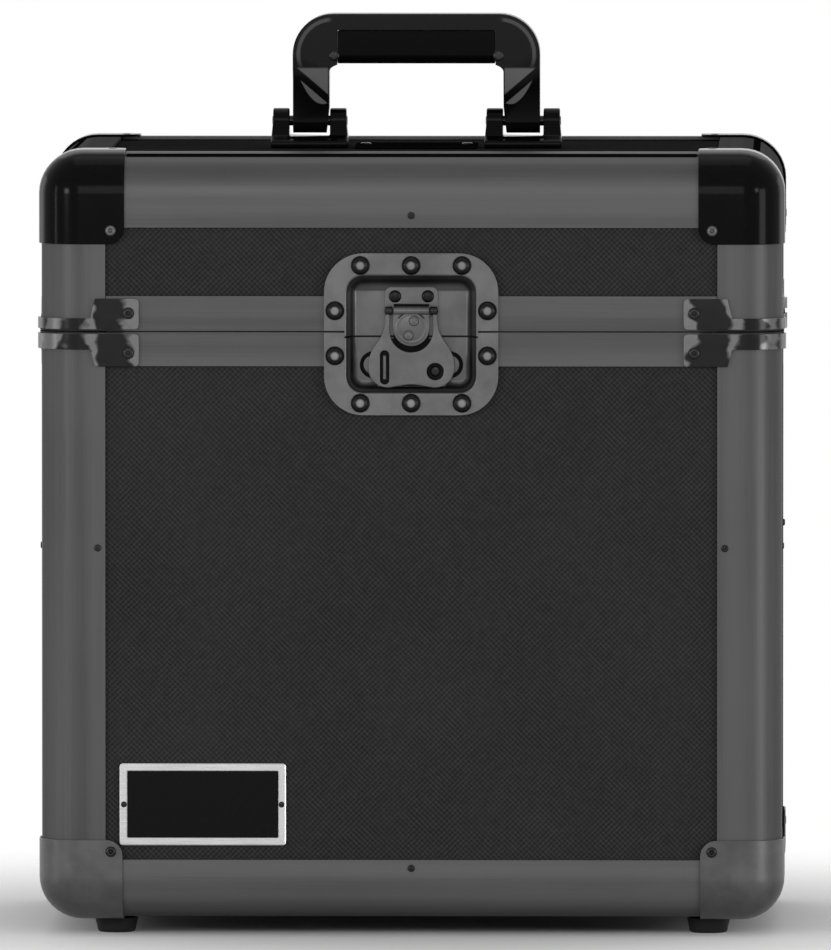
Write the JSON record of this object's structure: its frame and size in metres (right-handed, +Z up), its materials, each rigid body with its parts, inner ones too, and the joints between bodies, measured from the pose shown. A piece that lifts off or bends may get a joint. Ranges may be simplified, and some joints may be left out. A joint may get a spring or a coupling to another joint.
{
  "type": "record carrying case",
  "caption": "Upright record carrying case with rounded aluminium edges, capped corners, hinged lid, folding handle and a recessed butterfly latch.",
  "frame": {"origin": "on the surface that the feet stand on, under the middle of the bounding box", "axes": "+X to the right seen from the latch side, +Y from the latch to the hinges, +Z up"},
  "size_m": [0.3678, 0.2928, 0.4472],
  "materials": {
    "aluminium": "charcoal anodised, satin",
    "laminate": "plywood faced with dark embossed laminate",
    "gloss": "gloss black",
    "steel": "dark grey coated steel",
    "rubber": "black rubber",
    "foam": "dark closed-cell foam",
    "silver": "bare aluminium frame round a black field"
  },
  "bodies": {
    "case_body": {"panel_front": "laminate", "panel_back": "laminate", "panel_left": "laminate", "panel_right": "laminate", "panel_bottom": "laminate", "post_front_left": "aluminium", "post_back_left": "aluminium", "post_front_right": "aluminium", "post_back_right": "aluminium", "edge_front": "aluminium", "edge_back": "aluminium", "edge_left": "aluminium", "edge_right": "aluminium", "corner_front_left": "aluminium", "corner_back_left": "aluminium", "corner_front_right": "aluminium", "corner_back_right": "aluminium", "foot_front_left": "rubber", "foot_back_left": "rubber", "foot_front_right": "rubber", "foot_back_right": "rubber", "body_rim": "aluminium", "body_lining": "foam", "name_plate": "silver", "latch_dish_lower": "steel", "hinge_lower_left": "steel", "hinge_lower_right": "steel"},
    "lid": {"lid_panel_front": "laminate", "lid_panel_back": "laminate", "lid_panel_left": "laminate", "lid_panel_right": "laminate", "lid_panel_top": "laminate", "lid_post_front_left": "aluminium", "lid_post_back_left": "aluminium", "lid_post_front_right": "aluminium", "lid_post_back_right": "aluminium", "lid_edge_front": "aluminium", "lid_edge_back": "aluminium", "lid_edge_left": "aluminium", "lid_edge_right": "aluminium", "lid_corner_front_left": "gloss", "lid_corner_back_left": "gloss", "lid_corner_front_right": "gloss", "lid_corner_back_right": "gloss", "lid_rim": "aluminium", "lid_lining": "foam", "latch_dish_upper": "steel", "latch_keeper": "steel", "hinge_upper_left": "steel", "hinge_upper_right": "steel", "handle_bracket_left": "gloss", "handle_bracket_right": "gloss", "lid_strip": "aluminium"},
    "handle": {"handle_frame": "gloss", "handle_grip": "gloss"},
    "hook": {"latch_hook": "steel"},
    "hub": {"latch_hub": "steel"},
    "wing": {"latch_wing": "steel"}
  },
  "joints": [
    {"name": "lid_hinge", "type": "hinge", "parent": "case_body", "child": "lid", "pos_m": [0, 0.14325, 0.2957], "axis": [-1, 0, 0], "range_deg": [0, 100]},
    {"name": "handle_fold", "type": "hinge", "parent": "lid", "child": "handle", "pos_m": [0, -0.00125, 0.3942], "axis": [1, 0, 0], "range_deg": [-90, 90]},
    {"name": "hook_slide", "type": "slide", "parent": "case_body", "child": "hook", "axis": [0, 0, 1], "range_m": [0, 0.003]},
    {"name": "hub_turn", "type": "hinge", "parent": "hook", "child": "hub", "pos_m": [0, -0.14005, 0.2974], "axis": [0, -1, 0], "range_deg": [0, 180]},
    {"name": "wing_lift", "type": "hinge", "parent": "hub", "child": "wing", "pos_m": [0, -0.14005, 0.3059], "axis": [-1, 0, 0], "range_deg": [0, 90]}
  ],
  "couplings": [
    {"joint": "hub_turn", "follows": "wing_lift", "ratio": 2},
    {"joint": "hook_slide", "follows": "wing_lift", "m_per_rad": 0.0019098}
  ]
}
